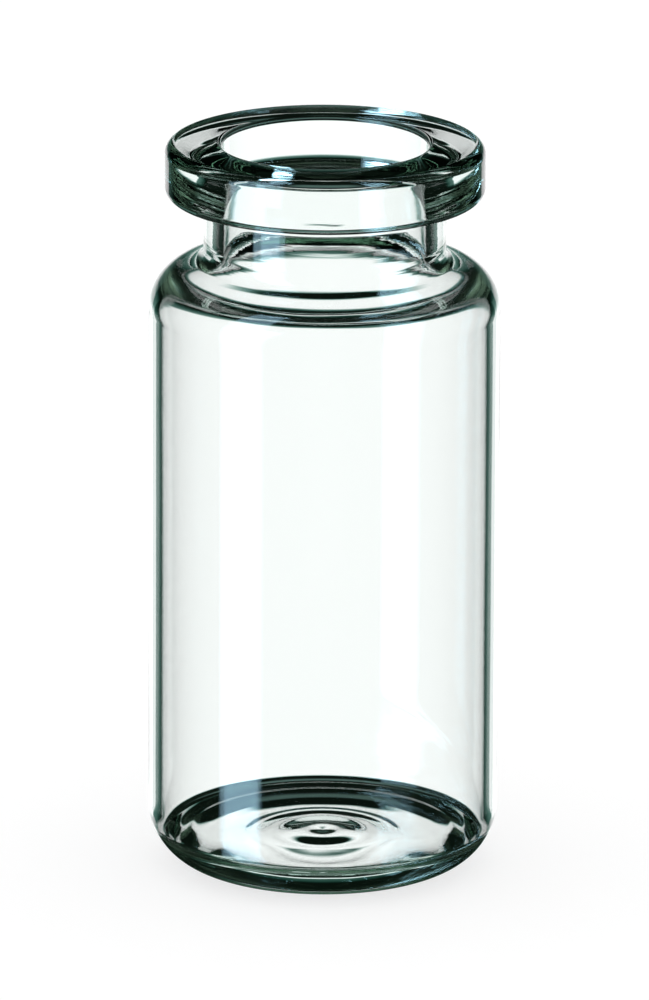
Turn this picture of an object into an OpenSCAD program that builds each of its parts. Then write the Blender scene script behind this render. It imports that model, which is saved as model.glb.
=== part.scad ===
// Glass sample vial: one piece of clear glass tubing with a crimp flange, a straight
// neck bore, a sloped shoulder, a straight body and a slightly hollowed base.
// Millimetres, +Z up. The origin is the centre of the ring that the vial stands on.

/* [Body] */
// Outer diameter of the straight body
body_od = 22; // [19:0.1:28]
// Wall thickness of the straight body
body_wall = 0.85; // [0.7:0.05:1.3]
// Height at which the straight wall gives way to the shoulder
body_h = 35.95; // [15:0.05:60]

/* [Base] */
// Outer radius of the rounding between the wall and the base
heel_r = 3.9; // [2.5:0.1:4.6]
// Inner radius of the same rounding
heel_inner_r = 0.65; // [0.4:0.05:2]
// Width of the flat ring that the vial stands on
standing_ring_w = 0.9; // [0.3:0.05:2.5]
// Height of the hollow under the middle of the base
push_up = 0.4; // [0.2:0.05:0.8]
// Glass thickness at the middle of the base
base_wall = 2.2; // [1.7:0.05:3.5]
// Rise of the inner floor from its lowest ring to its middle
floor_rise = 0.4; // [0.1:0.05:0.6]

/* [Shoulder] */
// Radius of the rounding between the body and the slope
shoulder_r = 3.1; // [2:0.05:5]
// Length of the straight slope between the two roundings
shoulder_run = 0.5; // [0.2:0.05:2]
// Radius of the hollow rounding between the slope and the neck
neck_root_r = 0.95; // [0.6:0.05:2.5]
// Glass thickness at the start of the slope
shoulder_wall = 1.35; // [0.8:0.05:1.6]
// Inner radius of the rounding between the body and the slope
shoulder_inner_r = 1.75; // [1:0.05:3]
// Length of the straight inner slope
shoulder_inner_run = 1.95; // [0.5:0.05:2.5]
// Radius of the rounding between the inner slope and the bore
bore_root_r = 1.8; // [1:0.05:3]

/* [Neck] */
// Outer diameter of the neck
neck_od = 15.15; // [14.6:0.05:17]
// Diameter of the straight bore through the neck and the flange
bore_d = 12.6; // [11:0.1:13.4]
// Height of the neck between its root and the underside of the flange
neck_h = 3.2; // [1:0.05:6]

/* [Flange] */
// Outer diameter of the crimp flange
flange_od = 20; // [18.6:0.1:22]
// Height of the crimp flange
flange_h = 3.5; // [2.5:0.05:5]
// Radius of the flange's upper outer edge
lip_r = 0.7; // [0.2:0.05:1.2]
// Radius of the flange's lower outer edge
flange_edge_r = 0.7; // [0.2:0.05:1.2]
// Radius of the hollow rounding between the neck and the flange's underside
flange_root_r = 0.7; // [0.2:0.05:0.9]
// Radius of the rounding where the bore meets the top face
mouth_r = 0.45; // [0.1:0.05:0.8]

/* [Hidden] */
$fn = 144;

// Widest turn of one straight piece of an arc, and the fewest pieces of an arc
arc_step = 6;
arc_min = 6;

body_or = body_od / 2;
cavity_r = body_or - body_wall;
neck_or = neck_od / 2;
bore_r = bore_d / 2;
flange_or = flange_od / 2;

// Base: the ring that touches the ground, and the sphere that hollows it out
ring_or = body_or - heel_r;
ring_ir = ring_or - standing_ring_w;
push_up_r = (ring_ir * ring_ir + push_up * push_up) / (2 * push_up);
push_up_angle = asin(ring_ir / push_up_r);

// Inner floor: a dome that meets the inner rounding of the heel without a corner
floor_top = push_up + base_wall;
heel_in = [cavity_r - heel_inner_r, floor_top - floor_rise + heel_inner_r];
heel_lift = heel_in.y - floor_top;
dome_r = (heel_in * heel_in + heel_lift * heel_lift - heel_in.y * heel_in.y
    - heel_inner_r * heel_inner_r) / (2 * floor_rise);
dome_angle = atan(heel_in.x / (heel_lift + dome_r));

// Shoulder: the inner S-curve has radii of its own, and starts at the height that
// leaves one shoulder wall under the upper end of the outer rounding
outer_angle = slope(body_or - neck_or, shoulder_r + neck_root_r, shoulder_run);
inner_angle = slope(cavity_r - bore_r, shoulder_inner_r + bore_root_r, shoulder_inner_run);
outer_edge = [body_or - shoulder_r, body_h] + shoulder_r * dir(outer_angle);
inner_edge = [cavity_r - shoulder_inner_r, 0] + shoulder_inner_r * dir(inner_angle);
inner_body_h = ((outer_edge - inner_edge) * dir(outer_angle) - shoulder_wall) / sin(outer_angle);

outer_s = s_curve([body_or, body_h], outer_angle, shoulder_r, neck_root_r, shoulder_run);
inner_s = s_curve([cavity_r, inner_body_h], inner_angle, shoulder_inner_r, bore_root_r,
    shoulder_inner_run);

// Heights above the shoulder
neck_z = outer_s[len(outer_s) - 1].y;
bore_z = inner_s[len(inner_s) - 1].y;
flange_z = neck_z + neck_h;
total_h = flange_z + flange_h;

echo(total_h = total_h, bore_z = bore_z, inner_body_h = inner_body_h, shoulder_angle = outer_angle);

// Unit vector at angle a in the plane of the section
function dir(a) = [cos(a), sin(a)];

// Points along an arc about c, from angle a0 to angle a1
function arc(c, r, a0, a1) =
    let (n = max(arc_min, ceil(abs(a1 - a0) / arc_step)))
        [for (i = [0:n]) c + r * dir(a0 + (a1 - a0) * i / n)];

function reverse(points) = [for (i = [len(points) - 1:-1:0]) points[i]];

// Angle at which a convex arc, a straight run and a concave arc, whose radii add
// up to radii, step in by width and end upright
function slope(width, radii, run) =
    acos((radii - width) / norm([radii, run])) - atan(run / radii);

// The S-curve that leaves an upright wall at p and ends upright further in
function s_curve(p, angle, convex_r, concave_r, run) =
    let (
        c1 = p - [convex_r, 0],
        c2 = c1 + (convex_r + concave_r) * dir(angle) + run * dir(angle + 90)
    ) concat(
        arc(c1, convex_r, 0, angle),
        arc(c2, concave_r, angle + 180, 180)
    );

function base_points() = concat(
    arc([0, push_up - push_up_r], push_up_r, 90, 90 - push_up_angle),
    arc([ring_or, heel_r], heel_r, -90, 0)
);

function neck_points() =
    arc([neck_or + flange_root_r, flange_z - flange_root_r], flange_root_r, 180, 90);

function flange_points() = concat(
    arc([flange_or - flange_edge_r, flange_z + flange_edge_r], flange_edge_r, -90, 0),
    arc([flange_or - lip_r, total_h - lip_r], lip_r, 0, 90),
    arc([bore_r + mouth_r, total_h - mouth_r], mouth_r, 90, 180)
);

function floor_points() = concat(
    arc(heel_in, heel_inner_r, 0, -90 - dome_angle),
    arc([0, floor_top - dome_r], dome_r, 90 - dome_angle, 90)
);

// Half section of the glass wall: up the outside, over the lip, and down the inside
module vial_section() {
    polygon(concat(
        base_points(),
        outer_s,
        neck_points(),
        flange_points(),
        reverse(inner_s),
        floor_points()
    ));
}

module vial() {
    color([0.86, 0.93, 0.90])
        rotate_extrude()
            vial_section();
}

vial();
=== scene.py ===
from math import acos, atan, ceil, cos, degrees, hypot, pi, radians, sin

import bpy
from mathutils import Matrix


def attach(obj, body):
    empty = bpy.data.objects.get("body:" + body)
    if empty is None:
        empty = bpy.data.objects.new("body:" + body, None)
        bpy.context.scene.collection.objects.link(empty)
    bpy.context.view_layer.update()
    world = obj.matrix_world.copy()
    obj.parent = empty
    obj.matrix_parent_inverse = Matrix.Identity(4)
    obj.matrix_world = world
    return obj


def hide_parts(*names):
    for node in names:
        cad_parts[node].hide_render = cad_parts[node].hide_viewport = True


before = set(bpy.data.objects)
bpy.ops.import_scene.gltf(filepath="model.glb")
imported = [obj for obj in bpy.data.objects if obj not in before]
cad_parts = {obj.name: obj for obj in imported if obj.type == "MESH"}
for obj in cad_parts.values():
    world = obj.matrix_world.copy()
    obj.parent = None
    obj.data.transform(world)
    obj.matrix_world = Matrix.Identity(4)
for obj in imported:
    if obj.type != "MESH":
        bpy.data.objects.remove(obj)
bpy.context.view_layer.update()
mm = 0.001
micrometre = 0.001     # in mm
plainWhite = (1.0, 1.0, 1.0, 1.0)


def deselectAll():
    if bpy.context.object and bpy.context.object.mode != "OBJECT":
        bpy.ops.object.mode_set(mode="OBJECT")
    bpy.ops.object.select_all(action="DESELECT")


class Wire:
    # a socket that takes +, - and *, and adds a Math node for each

    def __init__(self, nodes, socket):
        self.nodes = nodes
        self.socket = socket

    def math(self, operation, *values):
        return self.nodes.add("ShaderNodeMath", {"operation": operation}, values)

    def __add__(self, other):
        return self.math("ADD", self, other)

    def __radd__(self, other):
        return self.math("ADD", other, self)

    def __sub__(self, other):
        return self.math("SUBTRACT", self, other)

    def __rsub__(self, other):
        return self.math("SUBTRACT", other, self)

    def __mul__(self, other):
        return self.math("MULTIPLY", self, other)

    def __rmul__(self, other):
        return self.math("MULTIPLY", other, self)

    def abs(self):
        return self.math("ABSOLUTE", self)

    def least(self, other):
        return self.math("MINIMUM", self, other)

    def most(self, other):
        return self.math("MAXIMUM", self, other)

    def raised(self, power):
        return self.math("POWER", self, power)

    # in degrees
    def arcsine(self):
        return self.math("ARCSINE", self) * degrees(1)

    # in degrees, of this over other
    def arctangent(self, other):
        return self.math("ARCTAN2", self, other) * degrees(1)

    # 0 below low, 1 above high, smooth between
    def step(self, low, high):
        return self.nodes.add("ShaderNodeMapRange", {"interpolation_type": "SMOOTHSTEP"},
                              {"Value": self, "From Min": low, "From Max": high})


class Nodes:
    # one node tree, where add makes any node and gives back one of its outputs

    def __init__(self, tree):
        self.tree = tree
        tree.nodes.clear()

    def add(self, kind, settings=None, inputs=None, output=0):
        node = self.tree.nodes.new(kind)
        for name, value in (settings or {}).items():
            setattr(node, name, value)
        pairs = inputs.items() if isinstance(inputs, dict) else enumerate(inputs or [])
        for key, value in pairs:
            if isinstance(value, Wire):
                self.tree.links.new(value.socket, node.inputs[key])
            else:
                node.inputs[key].default_value = value
        return Wire(self, node.outputs[output]) if node.outputs else None


def newMaterial(name):
    material = bpy.data.materials.new(name)
    material.use_nodes = True
    return material, Nodes(material.node_tree)


# distances in metres, lens and sensor in mm
view = {
    "distance": 0.857,
    "downAngle": 16.0,   # degrees below the horizon
    "roll": 0.24,        # degrees
    "aimZ": 0.0235,      # height on the axis that the camera points at
    "shiftX": 0.0007,
    "lens": 492.0,
    "sensor": 36.0,
    "reach": 20.0,       # nothing is drawn beyond this distance
}


def addCamera(v):
    tilt = radians(v["downAngle"])
    turn = Matrix.Rotation(pi / 2 - tilt, 3, "X") @ Matrix.Rotation(radians(v["roll"]), 3, "Z")
    deselectAll()
    bpy.ops.object.camera_add(
        location=(0, -v["distance"] * cos(tilt), v["aimZ"] + v["distance"] * sin(tilt)),
        rotation=turn.to_euler())
    camera = bpy.context.object
    camera.name = "camera"
    camera.data.lens = v["lens"]
    camera.data.sensor_width = v["sensor"]
    camera.data.shift_x = v["shiftX"]
    camera.data.clip_end = v["reach"]
    bpy.context.scene.camera = camera


addCamera(view)
print("camera set")

# lengths in mm
vial = {
    "bodyD": 22.0, "bodyWall": 0.85, "bodyH": 35.95,
    "heelR": 3.9, "heelInnerR": 0.65,
    "ringW": 0.9,         # width of the ring that the vial stands on
    "pushUp": 0.37,       # depth of the hollow inside that ring
    "baseWall": 2.2, "floorRise": 0.4,
    "shoulderR": 3.1, "shoulderRun": 0.5, "neckRootR": 0.95, "shoulderWall": 1.35,
    "shoulderInnerR": 1.75, "shoulderInnerRun": 1.95, "boreRootR": 1.8,
    "neckD": 15.15, "boreD": 12.6, "neckH": 3.2,
    "flangeD": 20.0, "flangeH": 3.5, "lipR": 0.7, "flangeEdgeR": 0.7, "flangeRootR": 0.7, "mouthR": 0.36,
    "crown": 0.08,        # rise of the top face between its rounded edges
    "flare": 0.12,        # widening of the bore towards the mouth
    "flareFrom": 0.35,    # where the widening starts, above the flange's lower face
    # low swells in the floor and in the underside: radius, half width, height
    "floorSwells": [(8.6, 0.6, -0.08)],
    "underSwells": [(1.15, 1.75, 0.108), (3.5, 0.9, 0.03), (4.5, 0.5, 0.022)],
    # how finely the outline is drawn
    "arcStep": 3.6, "arcLeast": 6,    # degrees between points of an arc, and its least number of steps
    "discSteps": 56, "crownSteps": 8, "flareSteps": 12,
    "straightStep": 2.0,  # between rings of a straight wall
    "endGap": 0.06,       # from the end of a straight stretch to its first ring
    "straightFrom": 0.48,   # shorter stretches get no rings
    "weld": 0.002,        # closer points of the mesh become one
    "samePoint": 0.0001,  # closer points of the outline are drawn once
    "turns": 216,         # points round the vial
}


# 0 at t = 0 and 1 at t = 1, level at both ends
def ease(t):
    return 0.5 - 0.5 * cos(pi * t)


def between(a, b, t):
    return (a[0] + (b[0] - a[0]) * t, a[1] + (b[1] - a[1]) * t)


def away(centre, distance, angle):
    return (centre[0] + distance * cos(radians(angle)), centre[1] + distance * sin(radians(angle)))


def arc(v, centre, radius, fromAngle, toAngle):
    n = max(v["arcLeast"], ceil(abs(toAngle - fromAngle) / v["arcStep"]))
    return [away(centre, radius, fromAngle + (toAngle - fromAngle) * i / n) for i in range(n + 1)]


# the angle of the straight stretch between two arcs that are tangent to it
def slope(width, radii, run):
    return degrees(acos((radii - width) / hypot(radii, run)) - atan(run / radii))


# a convex arc from the body, a straight stretch and a concave arc into the neck
def shoulderCurve(v, start, angle, convexR, concaveR, run):
    first = (start[0] - convexR, start[1])
    second = away(away(first, convexR + concaveR, angle), run, angle + 90)
    return arc(v, first, convexR, 0, angle) + arc(v, second, concaveR, angle + 180, 180)


# the points between a and b on a low bulge
def crowned(a, b, height, steps):
    points = []
    for i in range(1, steps):
        t = i / steps
        r, z = between(a, b, t)
        points.append((r, z + 4 * height * t * (1 - t)))
    return points


# from a wide mouth down to the bore's own width
def flared(mouth, bore, steps):
    ways = [i / steps for i in range(1, steps + 1)]
    return [(mouth[0] + (bore[0] - mouth[0]) * ease(t), mouth[1] + (bore[1] - mouth[1]) * t) for t in ways]


# height at radius r of a set of round swells
def swell(swells, r):
    return sum(height * (1 - ease(min(1, abs(r - at) / half))) for at, half, height in swells)


# a nearly flat profile from the axis to width, which drops on a soft curve
def softDisc(width, height, drop, swells, steps):
    ways = [i / steps for i in range(steps + 1)]
    return [(width * t, height - drop * ease(t) + swell(swells, width * t)) for t in ways]


# height of the inner shoulder that leaves the wanted wall between the two straight stretches
def innerBodyHeight(v, bodyR, cavityR, outerAngle, innerAngle):
    outer = away((bodyR - v["shoulderR"], v["bodyH"]), v["shoulderR"], outerAngle)
    inner = away((cavityR - v["shoulderInnerR"], 0), v["shoulderInnerR"], innerAngle)
    lean = radians(outerAngle)
    gap = (outer[0] - inner[0]) * cos(lean) + (outer[1] - inner[1]) * sin(lean)
    return (gap - v["shoulderWall"]) / sin(lean)


# half the section, from the axis under the base round to the axis on the floor
def vialOutline(v):
    bodyR = v["bodyD"] / 2
    cavityR = bodyR - v["bodyWall"]
    neckR = v["neckD"] / 2
    boreR = v["boreD"] / 2
    flangeR = v["flangeD"] / 2
    ringOut = bodyR - v["heelR"]
    floorTop = v["pushUp"] + v["baseWall"]
    heelIn = (cavityR - v["heelInnerR"], floorTop - v["floorRise"] + v["heelInnerR"])
    outerAngle = slope(bodyR - neckR, v["shoulderR"] + v["neckRootR"], v["shoulderRun"])
    innerAngle = slope(cavityR - boreR, v["shoulderInnerR"] + v["boreRootR"], v["shoulderInnerRun"])
    innerBodyH = innerBodyHeight(v, bodyR, cavityR, outerAngle, innerAngle)
    outside = shoulderCurve(v, (bodyR, v["bodyH"]), outerAngle,
                            v["shoulderR"], v["neckRootR"], v["shoulderRun"])
    inside = shoulderCurve(v, (cavityR, innerBodyH), innerAngle,
                           v["shoulderInnerR"], v["boreRootR"], v["shoulderInnerRun"])
    flangeZ = outside[-1][1] + v["neckH"]
    topZ = flangeZ + v["flangeH"]
    rootR = v["flangeRootR"]
    edgeR = v["flangeEdgeR"]
    lipR = v["lipR"]
    mouthR = v["mouthR"]
    mouth = (boreR + v["flare"], topZ - mouthR)
    mouthEdge = mouth[0] + mouthR
    points = softDisc(ringOut - v["ringW"], v["pushUp"], v["pushUp"], v["underSwells"], v["discSteps"])
    points += arc(v, (ringOut, v["heelR"]), v["heelR"], -90, 0)
    points += outside
    points += arc(v, (neckR + rootR, flangeZ - rootR), rootR, 180, 90)
    points += arc(v, (flangeR - edgeR, flangeZ + edgeR), edgeR, -90, 0)
    points += arc(v, (flangeR - lipR, topZ - lipR), lipR, 0, 90)
    points += crowned((flangeR - lipR, topZ), (mouthEdge, topZ), v["crown"], v["crownSteps"])
    points += arc(v, (mouthEdge, mouth[1]), mouthR, 90, 180)
    points += flared(mouth, (boreR, flangeZ + v["flareFrom"]), v["flareSteps"])
    points += inside[::-1]
    points += arc(v, heelIn, v["heelInnerR"], 0, -90)
    points += softDisc(heelIn[0], floorTop, v["floorRise"], v["floorSwells"], v["discSteps"])[::-1]
    return points


# long straight stretches get rings, and the ring near each end keeps the shading of the arcs out of them
def addRings(v, points):
    gap = v["endGap"]
    done = [points[0]]
    for a, b in zip(points, points[1:]):
        length = hypot(b[0] - a[0], b[1] - a[1])
        if length < v["samePoint"]:
            continue
        if length > v["straightFrom"]:
            n = max(1, ceil((length - 2 * gap) / v["straightStep"]))
            done += [between(a, b, gap / length + (1 - 2 * gap / length) * i / n) for i in range(n + 1)]
        done.append(b)
    return done


# the outline is drawn by extruding a point, and then spun round the axis
def makeVial(v):
    points = addRings(v, vialOutline(v))
    points[0] = (0.0, points[0][1])
    points[-1] = (0.0, points[-1][1])
    deselectAll()
    bpy.ops.mesh.primitive_plane_add(size=mm, location=(0, 0, points[0][1] * mm))
    piece = bpy.context.object
    piece.name = "vialGlass"
    bpy.ops.object.transform_apply(location=True, rotation=True, scale=True)
    bpy.ops.object.mode_set(mode="EDIT")
    bpy.ops.mesh.select_all(action="SELECT")
    bpy.ops.mesh.merge(type="CENTER")
    for a, b in zip(points, points[1:]):
        bpy.ops.mesh.extrude_region_move(
            TRANSFORM_OT_translate={"value": ((b[0] - a[0]) * mm, 0, (b[1] - a[1]) * mm)})
    bpy.ops.mesh.select_all(action="SELECT")
    bpy.ops.mesh.spin(
        steps=v["turns"], angle=2 * pi, center=(0, 0, 0), axis=(0, 0, 1), use_auto_merge=True)
    bpy.ops.mesh.select_all(action="SELECT")
    bpy.ops.mesh.remove_doubles(threshold=v["weld"] * mm)
    bpy.ops.mesh.normals_make_consistent(inside=False)
    bpy.ops.object.mode_set(mode="OBJECT")
    bpy.ops.object.shade_smooth()
    return piece


vialPiece = makeVial(vial)
print("vial made:", len(vialPiece.data.polygons), "faces")

glass = {
    "ior": 1.5,
    "tint": (0.985, 1.0, 0.993, 1.0),
    "bodyColour": (0.62, 0.93, 0.84, 1.0),
    "bodyDensity": 22.0,
    # shallow waves: how many per metre across and along the axis, height in micrometres, detail
    "bodyWaves": (260.0, 60.0, 8.0, 1.0),
    "neckWaves": (120.0, 2400.0, 5.0, 3.0),
    "shoulderWaves": (70.0, 1300.0, 26.0, 2.0),
    "baseWaves": (420.0, 420.0, 10.0, 1.0),
    # heights in metres where they set in and end
    "neckFrom": (0.0365, 0.0405),
    "shoulderFrom": (0.0362, 0.0375), "shoulderTo": (0.0400, 0.0412),
    "baseTo": (0.0028, 0.0045),
    # faint roughness in patches
    "hazeScale": 900.0, "hazeDetail": 2.0, "hazeFrom": (0.6, 0.9), "hazeRoughness": 0.01,
}


def glassMaterial(g):
    material, nodes = newMaterial("glass")
    place = nodes.add("ShaderNodeTexCoord", output="Object")
    z = nodes.add("ShaderNodeSeparateXYZ", None, [place], "Z")

    def waves(across, along, height, detail):
        drawn = nodes.add("ShaderNodeMapping", None, {"Vector": place, "Scale": (across, across, along)})
        noise = nodes.add("ShaderNodeTexNoise", None, {"Vector": drawn, "Scale": 1.0, "Detail": detail})
        return noise * (height * micrometre)

    relief = waves(*g["bodyWaves"]) + waves(*g["neckWaves"]) * z.step(*g["neckFrom"])
    shoulder = z.step(*g["shoulderFrom"]) * (1 - z.step(*g["shoulderTo"]))
    relief = relief + waves(*g["shoulderWaves"]) * shoulder
    relief = relief + waves(*g["baseWaves"]) * (1 - z.step(*g["baseTo"]))
    normal = nodes.add("ShaderNodeBump", None, {"Strength": 1.0, "Distance": mm, "Height": relief})
    haze = nodes.add("ShaderNodeTexNoise", None,
                     {"Vector": place, "Scale": g["hazeScale"], "Detail": g["hazeDetail"]})
    shader = nodes.add("ShaderNodeBsdfPrincipled", None, {
        "Base Color": g["tint"], "IOR": g["ior"], "Transmission Weight": 1.0,
        "Roughness": haze.step(*g["hazeFrom"]) * g["hazeRoughness"], "Normal": normal})
    inside = nodes.add("ShaderNodeVolumeAbsorption", None,
                       {"Color": g["bodyColour"], "Density": g["bodyDensity"]})
    nodes.add("ShaderNodeOutputMaterial", None, {"Surface": shader, "Volume": inside})
    return material


vialPiece.data.materials.append(glassMaterial(glass))
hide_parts("vial")
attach(vialPiece, "root")
print("glass set")

# The world that the glass shows. Azimuths are degrees from straight behind, elevations are above the
# horizon, and depths count the reflections on a ray's way, so 0 is straight through. A pair of numbers
# is where a fade begins and ends
studio = {
    "white": 1.16,                         # level of the card and the ground
    "tint": (1.36, 1.0, 1.08),             # powers that turn their half lit edges teal
    "dark": (0.003, 0.006, 0.004),         # all that neither lights
    # the white card behind: azimuths of its sides, elevations of its top and of its lower edge
    "sideNear": (23.0, 28.0), "sideFar": (28.0, 42.0), "farShare": 0.22,
    "topNear": (-5.0, 2.0), "topFar": (-4.0, 14.0), "topShare": 0.25,
    "low": (-24.0, -20.5),
    "sideOnce": (25.5, 28.0), "onceShare": 0.15, "onceDepth": (1.1, 1.9),    # in a first reflection
    # also white, seen straight through: the ground except straight behind, and all that is steeply below
    "horizon": (-4.0, 0.0), "backDark": (28.0, 38.0),
    "steep": (-80.0, -70.0),
    # long paths in the glass see painted shade on the card, and a painted dim green glow where they leave
    # upwards
    "longDepth": (3.0, 7.0), "longFade": 0.7,
    "deepGlow": (0.28, 0.42, 0.3), "deepGlowFrom": (0.0, 5.0),
    # panels: azimuth, half width, low and high edge, softness
    "softBox": (-122.5, 14.0, -45.0, 60.0, 2.0), "boxColour": (0.48, 0.8, 1.0), "boxLevel": 5.0,
    "boxDepth": (3.5, 5.5),                # deeper reflections don't show the box
    "pool": (0.0, 7.0, -42.0, -33.0, 3.0), "poolColour": (0.085, 0.145, 0.13),    # a dim patch low behind
}
# sockets of a Mix node for its two colours and their mixture
colourA, colourB, colourMixed = 6, 7, 2


def skyWorld(s):
    world = bpy.data.worlds.new("studio")
    bpy.context.scene.world = world
    world.use_nodes = True
    nodes = Nodes(world.node_tree)
    direction = nodes.add("ShaderNodeTexCoord", output="Generated")
    x, y, z = [nodes.add("ShaderNodeSeparateXYZ", None, [direction], axis) for axis in "XYZ"]
    isCamera = nodes.add("ShaderNodeLightPath", output="Is Camera Ray")
    isDiffuse = nodes.add("ShaderNodeLightPath", output="Is Diffuse Ray")
    depth = nodes.add("ShaderNodeLightPath", output="Glossy Depth")
    height = z.arcsine()

    def turned(azimuth):
        c = cos(radians(azimuth))
        k = sin(radians(azimuth))
        return (x * c - y * k).arctangent(x * k + y * c).abs()

    def panel(azimuth, half, low, high, soft):
        side = 1 - turned(azimuth).step(half - soft, half + soft)
        return side * height.step(low - soft, low + soft) * (1 - height.step(high - soft, high + soft))

    # most of the light goes in the near fade, and a share of it only in the far one
    def fade(angle, near, far, farShare):
        return (1 - farShare) * (1 - angle.step(*near)) + farShare * (1 - angle.step(*far))

    behind = turned(0.0)
    upright = fade(height, s["topNear"], s["topFar"], s["topShare"]) * height.step(*s["low"])
    card = fade(behind, s["sideNear"], s["sideFar"], s["farShare"]) * upright
    cardOnce = fade(behind, s["sideOnce"], s["sideFar"], s["onceShare"]) * upright
    ground = (1 - height.step(*s["horizon"])) * behind.step(*s["backDark"])
    through = card.most(ground).most(1 - height.step(*s["steep"]))
    reflected = depth.least(1.0)
    once = reflected * (1 - depth.step(*s["onceDepth"]))
    longPath = depth.step(*s["longDepth"])
    # painted shade: long reflected paths see only part of the card
    mirrored = cardOnce * once + card * (reflected - once) * (1 - longPath * s["longFade"])
    white = through * (1 - reflected) + mirrored
    # painted glow: long paths that leave the glass upwards get a dim green level
    upPath = longPath * height.step(*s["deepGlowFrom"])
    pool = panel(*s["pool"])
    box = panel(*s["softBox"]) * reflected * (1 - depth.step(*s["boxDepth"])) * s["boxLevel"]
    colours = zip(s["tint"], s["dark"], s["deepGlow"], s["poolColour"], s["boxColour"])
    channels = []
    for power, dark, deepGlow, dim, glowing in colours:
        level = (white.raised(power) * s["white"]).most(dark)
        channels.append(level.most(upPath * deepGlow).most(pool * dim) + box * glowing)
    colour = nodes.add("ShaderNodeCombineColor", None, channels)
    # the camera and the matt surfaces see plain white
    direct = isCamera.most(isDiffuse)
    seen = nodes.add("ShaderNodeMix", {"data_type": "RGBA"},
                     {"Factor": direct, colourA: colour, colourB: plainWhite}, colourMixed)
    background = nodes.add("ShaderNodeBackground", None, {"Color": seen})
    nodes.add("ShaderNodeOutputWorld", None, {"Surface": background})


skyWorld(studio)

# lengths in metres
floorDisc = {
    "radius": 2.0, "corners": 96,
    "drop": 0.00002,               # below the vial, so that the two never share a plane
    "paper": 0.3, "glow": 0.74,    # what the camera sees: a grey that takes the shadow, and its own light
    # rays in the glass pass the floor, but shallow ones with no reflection meet a painted glow under the
    # base
    "glowPatchLevel": 1.4, "glowPatchEdge": (0.00624, 0.00936), "shallow": (0.6, 0.66),
}


def addFloor(f):
    deselectAll()
    bpy.ops.mesh.primitive_circle_add(
        vertices=f["corners"], radius=f["radius"], fill_type="NGON", location=(0, 0, -f["drop"]))
    floor = bpy.context.object
    floor.name = "floor"
    material, nodes = newMaterial("paleFloor")
    isCamera = nodes.add("ShaderNodeLightPath", output="Is Camera Ray")
    depth = nodes.add("ShaderNodeLightPath", output="Glossy Depth")
    place = nodes.add("ShaderNodeTexCoord", output="Object")
    x, y = [nodes.add("ShaderNodeSeparateXYZ", None, [place], axis) for axis in "XY"]
    paper = nodes.add("ShaderNodeBsdfDiffuse", None, {"Color": (f["paper"], f["paper"], f["paper"], 1.0)})
    glow = nodes.add("ShaderNodeEmission", None, {"Color": plainWhite, "Strength": f["glow"]})
    seen = nodes.add("ShaderNodeAddShader", None, [paper, glow])
    clear = nodes.add("ShaderNodeBsdfTransparent")
    # painted glow: the patch under the base shines by its own emission, not by any lamp
    glowing = nodes.add("ShaderNodeEmission", None, {"Color": plainWhite, "Strength": f["glowPatchLevel"]})
    inner, outer = f["glowPatchEdge"]
    near = 1 - (x * x + y * y).step(inner ** 2, outer ** 2)
    straight = 1 - depth.least(1.0)
    shallow = nodes.add("ShaderNodeLayerWeight", None, {"Blend": 0.5}, "Facing").step(*f["shallow"])
    passed = nodes.add("ShaderNodeMixShader", None, [near * straight * shallow, clear, glowing])
    mixed = nodes.add("ShaderNodeMixShader", None, [isCamera, passed, seen])
    nodes.add("ShaderNodeOutputMaterial", None, {"Surface": mixed})
    floor.data.materials.append(material)


addFloor(floorDisc)
bpy.context.scene.view_settings.view_transform = "Standard"
# rays in the flange turn many times before they leave the glass
bounces = {"glossy_bounces": 12, "transmission_bounces": 16, "max_bounces": 20}
for name, count in bounces.items():
    setattr(bpy.context.scene.cycles, name, count)
print("studio set")
